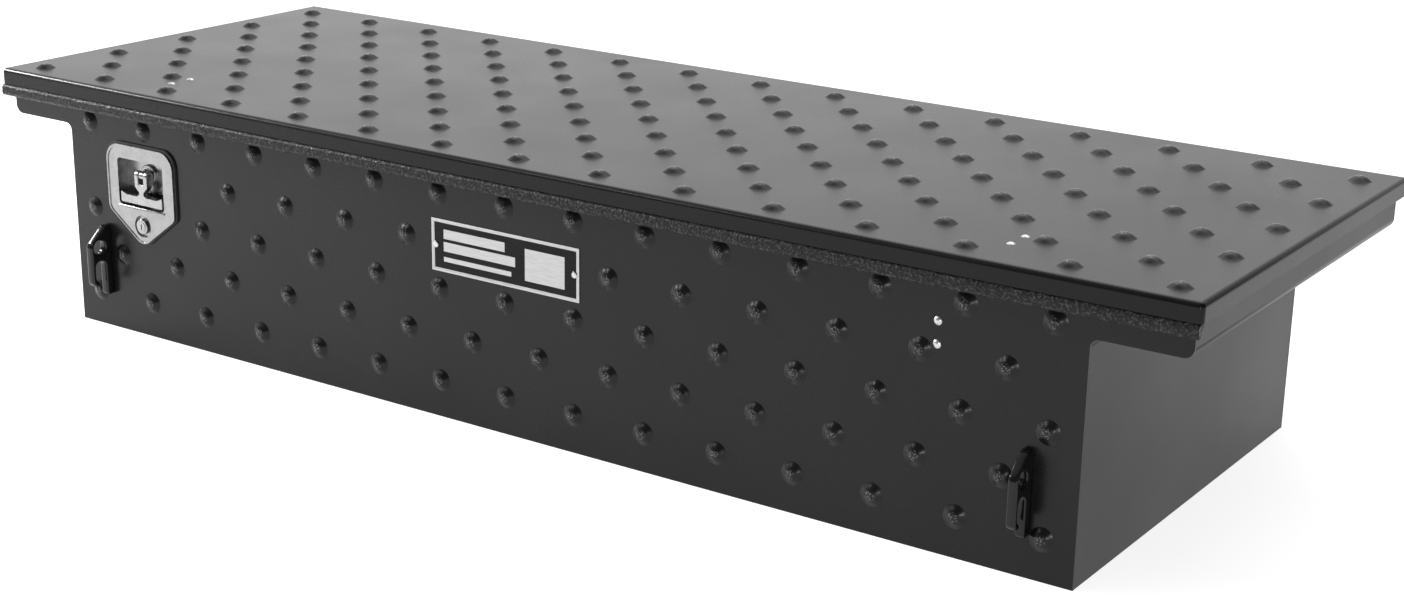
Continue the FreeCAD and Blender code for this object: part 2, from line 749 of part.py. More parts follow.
def latch_dish():
    """Pressed stainless plate with a pocket for the handle and a shallow round dish for the lock."""
    plate = latch_plate(f"{DISH_FACE} + latch_gauge", "latch_gauge")
    lip = cut(latch_plate(DISH_FACE, "latch_lip"), latch_plate(DISH_FACE, "latch_lip", "(-latch_lip_width)"))
    pocket = pocket_block("latch_gauge", DISH_FACE, "pocket_depth + latch_gauge")
    lock_cup = cylinder("lock_dish_radius + latch_gauge", "lock_dish_depth + latch_gauge",
                        ("-latch_x", DISH_FACE, "lock_height"), ALONG_Y)
    before = f"{DISH_FACE} - latch_lip"
    pocket_space = pocket_block("0", before, "pocket_depth + latch_lip")
    lock_space = cylinder("lock_dish_radius", "lock_dish_depth + latch_lip",
                          ("-latch_x", before, "lock_height"), ALONG_Y)
    lock_hole = cylinder("lock_barrel_radius + panel_clearance / 20", THROUGH,
                         ("-latch_x", before, "lock_height"), ALONG_Y)
    spindle_hole = cylinder("spindle_radius + running_gap", 2 * THROUGH,
                            ("-latch_x", before, "spindle_height"), ALONG_Y)
    pressed = fuse(plate, lip, pocket, lock_cup)
    bead = cylinder("pocket_bead", "2 * pocket_half_width", (
        "-latch_x - pocket_half_width", f"{DISH_FACE} - pocket_bead / 8", "pocket_bottom - pocket_bead"), ALONG_X)
    keep("latch_dish", fuse(cut(pressed, pocket_space, lock_space, lock_hole, spindle_hole), bead))


def latch_gasket():
    rubber = latch_plate(PANEL_FACE, "gasket_gauge", "gasket_margin")
    front = f"{PANEL_FACE} - {THROUGH} / 2"
    pocket_opening = pocket_block("gasket_clearance", front, THROUGH)
    lock_opening = cylinder("lock_dish_radius + gasket_clearance", THROUGH,
                            ("-latch_x", front, "lock_height"), ALONG_Y)
    keep("latch_gasket", cut(rubber, pocket_opening, lock_opening))


def bearing_boss():
    """Raised ring welded in the pocket, round the spindle."""
    start = ("-latch_x", f"{POCKET_FLOOR} - boss_height", "spindle_height")
    ring = cylinder("boss_radius", "boss_height", start, ALONG_Y)
    near_front = mm(start[1]) + 0.1
    ring = rounded(ring, "latch_gauge", lambda middle, line: middle.y < near_front)
    keep("latch_bearing_boss", cut(ring, cylinder("spindle_radius + running_gap", THROUGH, start, ALONG_Y)))


def spindle_head():
    """The spindle's outer end: a tongue between the handle's fork cheeks, on a round collar."""
    collar_front = f"({POCKET_FLOOR} - boss_height - collar_height)"
    left = "(-latch_x - head_width / 2)"
    tongue = box(("head_width", f"{collar_front} + pivot_depth + collar_height / 2", "2 * head_radius"),
                 (left, "-pivot_depth", "spindle_height - head_radius"))
    nose = cylinder("head_radius", "head_width", (left, "-pivot_depth", "spindle_height"), ALONG_X)
    collar = cylinder("collar_radius", "collar_height", ("-latch_x", collar_front, "spindle_height"), ALONG_Y)
    bore = cylinder("clevis_pin_radius", "head_width", (left, "-pivot_depth", "spindle_height"), ALONG_X)
    keep("spindle_head", cut(fuse(tongue, nose, collar), bore))


def clevis_pin():
    keep("clevis_pin", cylinder("clevis_pin_radius", "fork_width + 2",
                                ("-latch_x - fork_width / 2 - 1", "-pivot_depth", "spindle_height"), ALONG_X))


def latch_handle():
    """Folding T-handle: two fork cheeks on the pin, a yoke with a narrow waist and a flared grip."""
    front = "(-pivot_depth - fork_round)"
    cheek_end = "(spindle_height - cheek_length)"
    yoke_low = f"({cheek_end} - yoke_straight)"
    stem_top = f"({yoke_low} - yoke_drop)"
    stem_low = f"({stem_top} - stem_length)"
    grip_top = "(grip_bottom + grip_height)"
    pieces = []
    for left in ("(-latch_x - fork_width / 2)", "(fork_width / 2 - cheek_width - latch_x)"):
        pieces.append(cylinder("fork_round", "cheek_width", (left, "-pivot_depth", "spindle_height"), ALONG_X))
        pieces.append(box(("cheek_width", "2 * fork_round", "cheek_length"), (left, front, cheek_end)))
    half_outline = [("fork_width / 2", cheek_end), ("fork_width / 2", yoke_low), ("stem_width / 2", stem_top),
                    ("stem_width / 2", stem_low), ("stem_foot", grip_top),
                    ("grip_length / 2 - grip_flare_length", grip_top),
                    ("grip_length / 2", f"{grip_top} + grip_flare"), ("grip_length / 2", "grip_bottom")]
    right = [(f"{x} - latch_x", z) for x, z in half_outline]
    left = [(f"-({x}) - latch_x", z) for x, z in reversed(half_outline)]
    tee = outline_body("XZ_Plane", right + left, "grip_depth")
    for side in (-1, 1):
        end = mm(f"{side} * grip_length / 2 - latch_x")
        tee = round_body(tee, "grip_round", corner_at(Y_AXIS, x=end, z=mm("grip_bottom")))
    pieces.append(put(tee, y=f"{front} + grip_depth"))
    bore = cylinder("clevis_pin_radius + running_gap", "2 * fork_width",
                    ("-latch_x - fork_width", "-pivot_depth", "spindle_height"), ALONG_X)
    keep("latch_handle", cut(fuse(*pieces), bore))


def key_lock():
    """Lock housing, the turning plug with its key slot, and the cam tongue behind."""
    flange_front = f"({LOCK_FLOOR} - lock_flange_height)"
    plug_front = f"({LOCK_FLOOR} - lock_plug_proud)"
    flange = cylinder("lock_flange_radius", "lock_flange_height", ("-latch_x", flange_front, "lock_height"),
                      ALONG_Y)
    near_front = mm(flange_front) + 0.1
    flange = rounded(flange, "lock_flange_round", lambda middle, line: middle.y < near_front)
    barrel = cylinder("lock_barrel_radius", "lock_barrel_length", ("-latch_x", LOCK_FLOOR, "lock_height"),
                      ALONG_Y)
    bore = cylinder("lock_plug_radius + running_gap", f"lock_barrel_length + {THROUGH}",
                    ("-latch_x", f"{LOCK_FLOOR} - {THROUGH} / 2", "lock_height"), ALONG_Y)
    keep("lock_cylinder", cut(fuse(flange, barrel), bore))
    plug = cylinder("lock_plug_radius", "lock_plug_length", ("-latch_x", plug_front, "lock_height"), ALONG_Y)
    slot = box(("key_slot_width", "key_slot_depth", "key_slot_height"),
               ("-latch_x - key_slot_width / 2", plug_front, "lock_height - key_slot_height / 2"))
    keep("lock_plug", cut(plug, slot))
    tongue = box(("tongue_width", "tongue_gauge", "tongue_height"),
                 ("-latch_x - tongue_width / 2", f"{plug_front} + lock_plug_length",
                  "lock_height + tongue_width / 2 - tongue_height"))
    keep("lock_cam", rounded(tongue, "tongue_width / 2 - 0.5", corner_at(Y_AXIS)))


# ---------------------------------------------------------------- hooks and link rod

def crank_pin(x):
    """Where a hook's crank end stands while the hook is released, as formulas for x and z."""
    return (f"({x} + crank_radius * sin(release_angle * 1 deg))",
            f"(spindle_height - crank_radius * cos(release_angle * 1 deg))")


def hook(label, x, bore_gap):
    """Flat hook: its jaw closes round the striker bar, and a crank arm below takes the link rod.
    It is drawn upright round its own pivot, then stands swung open."""
    front = "-hook_front"
    arm = box(("hook_width", "hook_gauge", "hook_reach + hook_lip"), ("-hook_width / 2", front, 0))
    hub = cylinder("hook_hub_radius", "hook_hub_height", (0, front, 0), ALONG_Y)
    crank_arm = box(("crank_width", "hook_gauge", "crank_radius"),
                    ("-crank_width / 2", front, "-crank_radius"))
    crank_end = cylinder("crank_end_radius", "hook_gauge", (0, front, "-crank_radius"), ALONG_Y)
    opening = "(striker_radius + jaw_clearance)"
    jaw_outer = cylinder(f"hook_reach + {opening}", "hook_gauge", (0, front, 0), ALONG_Y)
    jaw_inner = cylinder(f"hook_reach - {opening}", "hook_gauge", (0, front, 0), ALONG_Y)
    jaw = doc.addObject("Part::Common", "Jaw")
    jaw.Base = cut(jaw_outer, jaw_inner)
    jaw.Tool = box(("hook_width", "hook_gauge", "hook_reach + hook_lip"), (0, front, 0))
    seat = cylinder(opening, "hook_gauge", (0, front, "hook_reach"), ALONG_Y)
    pivot = cylinder(f"spindle_radius + {bore_gap}", "2 * hook_hub_height", (0, f"{front} - hook_gauge", 0),
                     ALONG_Y)
    pin_hole = cylinder("crank_pin_radius + running_gap", "hook_gauge", (0, front, "-crank_radius"), ALONG_Y)
    plate = cut(fuse(arm, hub, crank_arm, crank_end), jaw, seat, pivot, pin_hole)
    plate.Placement = FreeCAD.Placement(V(), FreeCAD.Rotation(Y_AXIS, -mm("release_angle")))
    keep(label, put(plate, x=x, z="spindle_height"))


def latch_spindle():
    """Turning spindle from the bearing boss through the dish to the left hook, with a hexagon nut."""
    start = f"({POCKET_FLOOR} - boss_height + collar_height / 2)"
    nut_front = f"({HOOK_BACK} + hook_hub_height - hook_gauge)"
    end = f"({nut_front} + 2 * nut_height)"
    keep("latch_spindle", cylinder("spindle_radius", f"{end} - {start}", ("-latch_x", start, "spindle_height"),
                                   ALONG_Y))
    corners = [(f"-latch_x + nut_radius * cos({60 * side + 30} deg)",
                f"spindle_height + nut_radius * sin({60 * side + 30} deg)") for side in range(6)]
    nut = put(outline_body("XZ_Plane", corners, "nut_height"), y=f"{nut_front} + nut_height")
    bore = cylinder("spindle_radius", "2 * nut_height", ("-latch_x", nut_front, "spindle_height"), ALONG_Y)
    keep("spindle_nut", cut(nut, bore))


def link_rod():
    """Long rod that makes both hooks swing together, with a pin at each end."""
    rod_y = f"({HOOK_BACK} + running_gap + 2 * link_overrun / 3 + 0.5)"
    left_x, z = crank_pin("-latch_x")
    right_x, _ = crank_pin("second_latch_x")
    rod = cylinder("link_radius", f"{right_x} - {left_x} + 2 * link_overrun",
                   (f"{left_x} - link_overrun", rod_y, z), ALONG_X)
    pins = [cylinder("crank_pin_radius", "hook_gauge + link_overrun", (x, rod_y, z), ALONG_MINUS_Y)
            for x in (left_x, right_x)]
    keep("link_rod", fuse(rod, *pins))


def second_latch():
    """Bracket riveted inside the front panel, with the right hook's pivot pin and clip."""
    left = "(second_rivet_x - 2 * rivet_head)"
    low = "(second_rivet_low - 5 * rivet_head)"
    plate = box((f"second_latch_x + bracket_margin - {left}", "bracket_gauge", "bracket_height"),
                (left, PANEL_INSIDE, low))
    plate = rounded(plate, "bracket_round", corner_at(Y_AXIS))
    centre = ("second_latch_x", PANEL_INSIDE, "spindle_height")
    pin_hole = cylinder("spindle_radius", THROUGH, centre, ALONG_Y)
    keep("second_latch_bracket", cut(plate, pin_hole, *rivet_holes(second_rivet_places())))
    clip_front = f"({HOOK_BACK} + hook_hub_height - hook_gauge + 0.4)"
    shaft = cylinder("spindle_radius", f"{clip_front} + 2 * clip_height - {PANEL_INSIDE}", centre, ALONG_Y)
    spacer_start = f"({PANEL_INSIDE} + bracket_gauge)"
    spacer = cylinder("spacer_radius", f"-hook_front - 0.3 - {spacer_start}",
                      ("second_latch_x", spacer_start, "spindle_height"), ALONG_Y)
    keep("second_pivot_pin", fuse(shaft, spacer))
    clip = cylinder("spacer_radius", "clip_height", ("second_latch_x", clip_front, "spindle_height"), ALONG_Y)
    keep("second_pivot_clip", cut(clip, cylinder("spindle_radius", THROUGH, (
        "second_latch_x", clip_front, "spindle_height"), ALONG_Y)))
    grip = "sheet_gauge + bracket_gauge"
    keep("panel_rivets", group([rivet(place, -Y_AXIS, grip) for place in second_rivet_places()]))


# ---------------------------------------------------------------- cleats and name plate

def cleat(side, sign):
    """Thick tie-down plate standing out from the panel: a round eye above, a hook open below."""
    arm = f"-({CLEAT_SLOT_Y} + cleat_slot_radius)"
    bead = f"({arm} + cleat_bead)"
    outline = [(0, "cleat_bottom"), ("-cleat_base", "cleat_bottom"), ("-cleat_base", "cleat_slot_top"),
               (arm, "cleat_slot_top"), (arm, "cleat_hook_low + 10"), (bead, "cleat_hook_low + cleat_bead"),
               (bead, "cleat_hook_low"), ("-cleat_reach", "cleat_hook_low"),
               ("-cleat_reach", "cleat_top - cleat_slope"), ("-cleat_flat", "cleat_top"), (0, "cleat_top")]
    plate = outline_body("YZ_Plane", outline, "cleat_gauge")
    reach = mm("-cleat_reach")
    low = mm("cleat_bottom")
    hook_low = mm("cleat_hook_low")
    plate = round_body(plate, "cleat_round", corner_at(X_AXIS, y=reach, z=hook_low))
    shoulders = ((reach, mm("cleat_top - cleat_slope")), (mm("-cleat_flat"), mm("cleat_top")))
    for y, z in shoulders:
        plate = round_body(plate, "cleat_shoulder_round", corner_at(X_AXIS, y=y, z=z))
    plate = round_body(plate, "cleat_bead / 2 - 0.2", lambda middle, line: runs_along(line, X_AXIS)
                       and hook_low - 1 < middle.z < hook_low + mm("cleat_bead") + 1
                       and reach + 1 < middle.y < -mm("cleat_base") - 2)
    plate = round_body(plate, "cleat_base / 2 - 1", corner_at(X_AXIS, y=mm("-cleat_base"), z=low))
    start = f"{sign} * cleat_x - cleat_gauge / 2"
    put(plate, x=start, y=PANEL_FACE)
    middle_y = f"{PANEL_FACE} - {CLEAT_SLOT_Y}"
    slot_end = cylinder("cleat_slot_radius", "cleat_gauge", (start, middle_y, "cleat_slot_top"), ALONG_X)
    eye = cylinder("cleat_eye_radius", "cleat_gauge", (start, middle_y, "cleat_eye_height"), ALONG_X)
    plate = cut(plate, slot_end, eye)
    near_panel = mm(PANEL_FACE) - 0.1
    side_faces = (mm(start), mm(f"{start} + cleat_gauge"))
    plate = rounded(plate, "cleat_soft_edge", lambda middle, line: middle.y < near_panel
                    and min(abs(middle.x - face) for face in side_faces) < 0.01)
    screw_holes = [cylinder("screw_radius", "screw_depth + 1", place, ALONG_MINUS_Y)
                   for place in cleat_screw_places([(side, sign)])]
    keep(f"cleat_{side}", cut(plate, *screw_holes))


def cleat_screws():
    screws = []
    for x, y, z in cleat_screw_places():
        shank = cylinder("screw_radius", "screw_depth + sheet_gauge", (x, f"{y} - screw_depth", z), ALONG_Y)
        head = cylinder("screw_head_radius", "screw_head_height", (x, PANEL_INSIDE, z), ALONG_Y)
        screws.append(fuse(shank, head))
    keep("cleat_screws", group(screws))


def name_plate():
    """Blank plate with a raised border: no words and no mark."""
    front = f"({PANEL_FACE} - plate_gauge)"
    low = "(plate_middle - plate_height / 2)"
    blank = box(("plate_length", "plate_gauge", "plate_height"), ("-plate_length / 2", front, low))
    field = box(("plate_length - 2 * plate_border", "plate_sink", "plate_height - 2 * plate_border"),
                ("plate_border - plate_length / 2", front, f"{low} + plate_border"))
    keep("name_plate", cut(blank, field, *rivet_holes(plate_rivet_places())))
    heads = []
    for x, _, z in plate_rivet_places():
        seat = f"({front} + plate_sink)"
        head = cylinder("plate_rivet_radius", "rivet_dome * 0.7", (x, seat, z), ALONG_MINUS_Y)
        near_front = mm(f"{seat} - rivet_dome * 0.7") + 0.1
        head = rounded(head, "rivet_dome / 2", lambda middle, line: middle.y < near_front)
        shank = cylinder("rivet_shank", "sheet_gauge + rivet_tail_length", (x, seat, z), ALONG_Y)
        heads.append(fuse(head, shank))
    keep("name_plate_rivets", group(heads))


# ---------------------------------------------------------------- gas struts

def place_on_strut(sign, thing):
    """Move a piece drawn along +X from the lower stud onto the closed strut's line."""
    rise = mm("strut_high_z - strut_low_z")
    run = mm("strut_high_y - strut_low_y")
    along = V(0, run, rise).normalize()
    turn = FreeCAD.Rotation(along, X_AXIS, along.cross(X_AXIS), "XYZ")
    thing.Placement = FreeCAD.Placement(V(), turn)
    return put(thing, f"{sign} * strut_x", "strut_low_y", "strut_low_z")


STRUT_LENGTH = "sqrt((strut_high_y - strut_low_y) ^ 2 + (strut_high_z - strut_low_z) ^ 2)"


def strut_eye(centre, neck_start):
    """An eye that lies across the strut's line, with a neck towards the tube or rod."""
    eye = cylinder("strut_eye_radius", "strut_eye_width", (centre, "-strut_eye_width / 2", 0), ALONG_Y)
    neck = cylinder("strut_neck_radius", "strut_tube_start", (neck_start, 0, 0), ALONG_X)
    return fuse(eye, neck)


def gas_strut(side, sign):
    stud_hole = cylinder("stud_radius + running_gap", "2 * strut_eye_width", (0, "-strut_eye_width", 0),
                         ALONG_Y)
    lower_eye = cut(strut_eye(0, 0), stud_hole)
    keep(f"strut_lower_eye_{side}", place_on_strut(sign, lower_eye))
    tube = cylinder("strut_tube_radius", "strut_tube_end - strut_tube_start", ("strut_tube_start", 0, 0),
                    ALONG_X)
    bore_length = "strut_tube_end - strut_tube_start - strut_cap_length - strut_gland_length"
    bore = cylinder("strut_bore_radius", bore_length, ("strut_tube_start + strut_cap_length", 0, 0), ALONG_X)
    gland = cylinder("strut_rod_radius + running_gap", 2 * THROUGH, (f"strut_tube_end - {THROUGH}", 0, 0),
                     ALONG_X)
    keep(f"strut_tube_{side}", place_on_strut(sign, cut(tube, bore, gland)))
    rod = cylinder("strut_rod_radius", f"{STRUT_LENGTH} - strut_tube_start - strut_rod_start",
                   ("strut_rod_start", 0, 0), ALONG_X)
    piston = cylinder("strut_bore_radius - 0.3", "strut_cap_length", ("strut_rod_start", 0, 0), ALONG_X)
    keep(f"strut_rod_{side}", place_on_strut(sign, fuse(rod, piston)))
    socket = cylinder("clevis_pin_radius", "strut_eye_width / 2",
                      (STRUT_LENGTH, "0" if sign < 0 else "-strut_eye_width / 2", 0), ALONG_Y)
    upper_eye = cut(strut_eye(STRUT_LENGTH, f"{STRUT_LENGTH} - strut_tube_start"), socket)
    keep(f"strut_upper_eye_{side}", place_on_strut(sign, upper_eye))


def strut_wall_bracket(side, sign):
    """Plate on the end wall with the stud that the strut's lower eye turns on."""
    wall = f"{sign} * (tub_length / 2 - sheet_gauge)"
    inward = ALONG_MINUS_X if sign > 0 else ALONG_X
    plate_start = f"{wall} - bracket_gauge" if sign > 0 else wall
    plate = box(("bracket_gauge", "wall_plate_width", "wall_plate_height"),
                (plate_start, "strut_low_y - wall_plate_width * 0.4", "strut_low_z - wall_plate_height / 2"))
    reach = "(tub_length / 2 - sheet_gauge - strut_x)"
    stud = cylinder("stud_radius", f"{reach} + strut_eye_width * 0.6", (wall, "strut_low_y", "strut_low_z"),
                    inward)
    washer = cylinder("stud_washer_radius", f"{reach} - strut_eye_width / 2 - lid_stud_gap",
                      (wall, "strut_low_y", "strut_low_z"), inward)
    keep(f"strut_lower_bracket_{side}", fuse(plate, stud, washer))


def strut_lid_bracket(side, sign):
    """Angle under the lid whose round button stands beside the strut's upper eye."""
    web_inside = f"{sign} * (strut_x + strut_eye_width / 2 + lid_stud_gap + bracket_gauge)"
    inward = ALONG_MINUS_X if sign > 0 else ALONG_X
    low = "(strut_high_z - strut_eye_width)"
    web_start = web_inside if sign > 0 else f"{web_inside} - bracket_gauge"
    web = box(("bracket_gauge", "lid_bracket_width", f"{SKIN_UNDERSIDE} - {low}"),
              (web_start, "strut_high_y - lid_bracket_width / 2", low))
    foot_start = web_inside if sign > 0 else f"{web_inside} - lid_bracket_foot"
    foot = box(("lid_bracket_foot", "lid_bracket_width", "bracket_gauge"),
               (foot_start, "strut_high_y - lid_bracket_width / 2", f"{SKIN_UNDERSIDE} - bracket_gauge"))
    button = cylinder("lid_button_radius", "bracket_gauge", (web_inside, "strut_high_y", "strut_high_z"),
                      inward)
    keep(f"strut_upper_bracket_{side}", fuse(web, foot, button))


# ---------------------------------------------------------------- build, check and write

def build():
    fill_sheet()
    lid_skin()
    lid_stiffener()
    lid_front_seal()
    striker("left", "-latch_x")
    striker("right", "second_latch_x")
    striker_rivets()
    front_panel()
    rear_panel()
    tub_floor()
    rim_seal()
    piano_hinge()
    latch_dish()
    latch_gasket()
    bearing_boss()
    spindle_head()
    clevis_pin()
    latch_handle()
    key_lock()
    latch_spindle()
    hook("hook_left", "-latch_x", "0")
    hook("hook_right", "second_latch_x", "running_gap")
    link_rod()
    second_latch()
    cleat_screws()
    name_plate()
    for side, sign in SIDES:
        end_panel(side, sign)
        cleat(side, sign)
        gas_strut(side, sign)
        strut_wall_bracket(side, sign)
        strut_lid_bracket(side, sign)
    doc.recompute()


def write():
    for thing in doc.Objects:
        if "Invalid" in thing.State or "Error" in thing.State:
            raise RuntimeError(f"{thing.Name} did not build: {thing.State}")
    os.makedirs("parts", exist_ok=True)
    for thing in subparts:
        shape = thing.Shape
        if shape.isNull() or not shape.isValid() or not shape.Solids:
            raise RuntimeError(f"{thing.Label} has no valid solid")
        shape.exportStep(f"parts/{thing.Label}.step")
    print(len(subparts), "sub-parts written")


build()
write()
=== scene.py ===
"""Looks of the crossover tool box: finer meshes, materials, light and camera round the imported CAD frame.
Everything is in metres unless a comment says otherwise: +X along the box, -Y towards the front, +Z up."""

import json
import math

import bmesh
import bpy
from mathutils import Matrix, Vector, noise


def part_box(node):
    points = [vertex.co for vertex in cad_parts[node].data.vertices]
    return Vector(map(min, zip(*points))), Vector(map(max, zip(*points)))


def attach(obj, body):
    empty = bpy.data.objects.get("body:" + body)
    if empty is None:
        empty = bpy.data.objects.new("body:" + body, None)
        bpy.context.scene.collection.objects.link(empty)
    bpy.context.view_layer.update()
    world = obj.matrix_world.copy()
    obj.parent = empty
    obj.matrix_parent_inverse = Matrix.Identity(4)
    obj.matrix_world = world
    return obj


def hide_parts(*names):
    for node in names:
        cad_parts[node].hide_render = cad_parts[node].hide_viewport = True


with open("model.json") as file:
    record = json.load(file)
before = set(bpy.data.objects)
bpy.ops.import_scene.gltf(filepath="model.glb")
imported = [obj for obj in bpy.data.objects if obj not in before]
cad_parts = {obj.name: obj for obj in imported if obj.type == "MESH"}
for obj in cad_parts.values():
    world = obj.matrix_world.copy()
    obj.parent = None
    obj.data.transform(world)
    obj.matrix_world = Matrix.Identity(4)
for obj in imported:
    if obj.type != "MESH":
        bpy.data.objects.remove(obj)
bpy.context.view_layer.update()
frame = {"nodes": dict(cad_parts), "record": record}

MM = 0.001

# Camera: place, heading, downward tilt and roll, then lens and sensor width in millimetres
CAMERA_PLACE = Vector((1.668, -2.330, 1.012))
CAMERA_HEADING = math.radians(34.17)
CAMERA_TILT = math.radians(17.77)
CAMERA_ROLL = math.radians(0.96)
CAMERA_LENS = 58.2
SENSOR_WIDTH = 36

# White surroundings: where their bright side lies and how far round it their brightness grows, then the
# brightness away from that side, on that side, and of the plain backdrop that the camera itself sees
BRIGHT_SIDE = Vector((-0.75, 0.6, 0.25)).normalized()
BRIGHT_REACH = 1.05
WORLD_FRONT = 0.12
WORLD_BACK = 1.48
BACKDROP = 1.0

# Floor: half its width, its two tones and the size of their patches in millimetres, and its own glow
FLOOR_REACH = 14.0
FLOOR_DARK = 0.30
FLOOR_LIGHT = 0.32
FLOOR_PATCH = 400
FLOOR_GLOW = 0.86
FLOOR_ROUGHNESS = 0.8

# Soft boxes: width and height, and power in watts; one that isn't mirrored doesn't show in glossy surfaces
LIGHTS = {
    "overhead": {"place": (0.0, 1.5, 3.0), "target": (0, 1.0, 0), "size": (3.4, 2.2), "power": 45},
    "overhead_front": {"place": (0.0, -1.0, 3.0), "target": (0, -0.1, 0.2), "size": (3.0, 1.4), "power": 40,
                       "mirrored": False},
    "left_floor": {"place": (-2.2, -0.1, 1.7), "target": (-1.3, -0.6, 0.0), "size": (0.9, 0.7), "power": 105,
                   "mirrored": False},
    "left_edge": {"place": (-2.6, -0.9, 1.4), "target": (-0.6, -0.3, 0.3), "size": (0.5, 0.4), "power": 60},
    "front_left": {"place": (-1.6, -2.3, 2.1), "target": (0, 0, 0.3), "size": (0.45, 0.18), "power": 12},
    "front_right": {"place": (2.1, -3.0, 0.45), "target": (0.3, 0, 0.2), "size": (0.35, 0.35), "power": 14},
}

# Raised bumps: their height, and the height where the pale grains painted on their tops as glints begin
BUMP_HEIGHT = 6 * MM
PAINTED_GLINT_START = 4.5 * MM
# Size of those painted glint grains in millimetres, their colour, and the noise where one begins to show and
# shows fully
PAINTED_GLINT_SIZE = 2.2
PAINTED_GLINT_COLOUR = (0.14, 0.14, 0.145)
PAINTED_GLINT_FAINT = 0.51
PAINTED_GLINT_FULL = 0.60

# Name plate: the width of its silver border, and its plain silver bars by their middle's distance from the
# plate's middle and by half their length and height, all in millimetres
PLATE_BORDER = 4.4
PLATE_BARS = (
    {"x": -47, "z": 15, "half_length": 48, "half_height": 6},
    {"x": -39, "z": -1, "half_length": 56, "half_height": 6},
    {"x": -42, "z": -17, "half_length": 53, "half_height": 3},
    {"x": 62, "z": -1, "half_length": 30, "half_height": 20},
)

# Cleaning before edges are rounded: points this close are one, and faces this nearly level become one
MERGE_DISTANCE = 0.002 * MM
LEVEL_ANGLE = math.radians(0.6)
# A face is square to an axis if its normal has at least this much along it
SQUARE_TO_AXIS = 0.99999

# CAD nodes remade from small cells: cell size in millimetres, rounds of smoothing, and the depth and size in
# millimetres of a grain sunk into the skin
FORGED = {
    "cleat_left": {"voxel": 1.2, "rounds": 22},
    "cleat_right": {"voxel": 1.2, "rounds": 22},
    "lid_front_seal": {"voxel": 1.1, "rounds": 1, "relief": 1.1, "grain": 2.4},
}

# CAD nodes with rounded edges: width of the rounding in millimetres, its steps, and the least angle in
# degrees between two faces that makes an edge
SOFTENED = {
    "front_panel": {"width": 0.5, "angle": 25},
    "lid_skin": {"width": 0.5, "angle": 25},
    "rear_panel": {"width": 0.5},
    "end_panel_left": {"width": 0.5},
    "end_panel_right": {"width": 0.5},
    "latch_handle": {"width": 0.9},
    "latch_dish": {"width": 0.7, "segments": 3},
    "name_plate": {"width": 0.25},
    "hook_left": {"width": 0.4},
    "hook_right": {"width": 0.4},
}


# ---------------------------------------------------------------- pieces

def node_named(name):
    return frame["nodes"][name]


def body_of(node):
    """Name of the body that a CAD node belongs to."""
    for body, nodes in frame["record"]["behaviour"]["bodies"].items():
        if node in nodes:
            return body
    raise KeyError(node)


def slot_of(node):
    """Name of the material slot that the record gives a CAD node."""
    for row in frame["record"]["subparts"]:
        if row["node"] == node:
            return row["material_slot"]
    raise KeyError(node)


def stand_in(name, mesh):
    """Put a finer mesh into the scene in place of a CAD node, on that node's body."""
    piece = bpy.data.objects.new(name + "_fine", mesh)
    bpy.context.scene.collection.objects.link(piece)
    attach(piece, body_of(name))
    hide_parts(name)
    return piece


def softened(name, width, segments=2, angle=35):
    """A copy of a CAD node with its sharp edges rounded, as bent, cut or cast metal has them."""
    mesh = node_named(name).data.copy()
    mesh.name = name + "_fine"
    form = bmesh.new()
    form.from_mesh(mesh)
    bmesh.ops.remove_doubles(form, verts=form.verts, dist=MERGE_DISTANCE)
    bmesh.ops.dissolve_degenerate(form, edges=form.edges, dist=MERGE_DISTANCE)
    bmesh.ops.dissolve_limit(form, angle_limit=LEVEL_ANGLE, verts=form.verts, edges=form.edges)
    sharp = [edge for edge in form.edges
             if len(edge.link_faces) == 2 and edge.calc_face_angle(0) > math.radians(angle)]
    bmesh.ops.bevel(form, geom=sharp, offset=width * MM, offset_type="OFFSET", segments=segments,
                    profile=0.5, affect="EDGES", clamp_overlap=True)
    bmesh.ops.triangulate(form, faces=[face for face in form.faces if len(face.verts) > 4])
    for face in form.faces:
        face.smooth = True
    form.to_mesh(mesh)
    form.free()
    if "custom_normal" in mesh.attributes:
        mesh.attributes.remove(mesh.attributes["custom_normal"])
    mesh.set_sharp_from_angle(angle=math.radians(angle))
    keep_flats_flat(mesh)
    return stand_in(name, mesh)


def keep_flats_flat(mesh):
    """Give the corners of every face square to an axis that face's own normal, so flat sheet shades evenly."""
    normals = [corner.vector.copy() for corner in mesh.corner_normals]
    for face in mesh.polygons:
        if max(abs(part) for part in face.normal) > SQUARE_TO_AXIS:
            for index in face.loop_indices:
                normals[index] = face.normal.copy()
    mesh.normals_split_custom_set(normals)


def forged(name, voxel, rounds, relief=0.0, grain=1.0):
    """A copy of a CAD node remade from small cells and smoothed, as a forging or a moulding is."""
    rough = bpy.data.objects.new(name + "_cells", node_named(name).data.copy())
    bpy.context.scene.collection.objects.link(rough)
    remesh = rough.modifiers.new("cells", "REMESH")
    remesh.mode = "VOXEL"
    remesh.voxel_size = voxel * MM
    smooth = rough.modifiers.new("smooth", "SMOOTH")
    smooth.factor = 0.5
    smooth.iterations = rounds
    evaluated = rough.evaluated_get(bpy.context.evaluated_depsgraph_get())
    mesh = bpy.data.meshes.new_from_object(evaluated)
    bpy.data.objects.remove(rough)
    mesh.name = name + "_fine"
    if relief:
        sink_grain(mesh, relief, grain)
    for face in mesh.polygons:
        face.use_smooth = True
    return stand_in(name, mesh)


def sink_grain(mesh, relief, grain):
    """Push every vertex inwards by up to the relief, more in the hollows of a noise."""
    normals = [vertex.normal.copy() for vertex in mesh.vertices]
    for vertex, normal in zip(mesh.vertices, normals):
        hollow = 0.5 - 0.5 * noise.noise(vertex.co / (grain * MM))
        vertex.co -= normal * relief * MM * hollow


def give(piece, material):
    """Make a material the only one on a piece."""
    piece.data.materials.clear()
    piece.data.materials.append(material)


# ---------------------------------------------------------------- materials

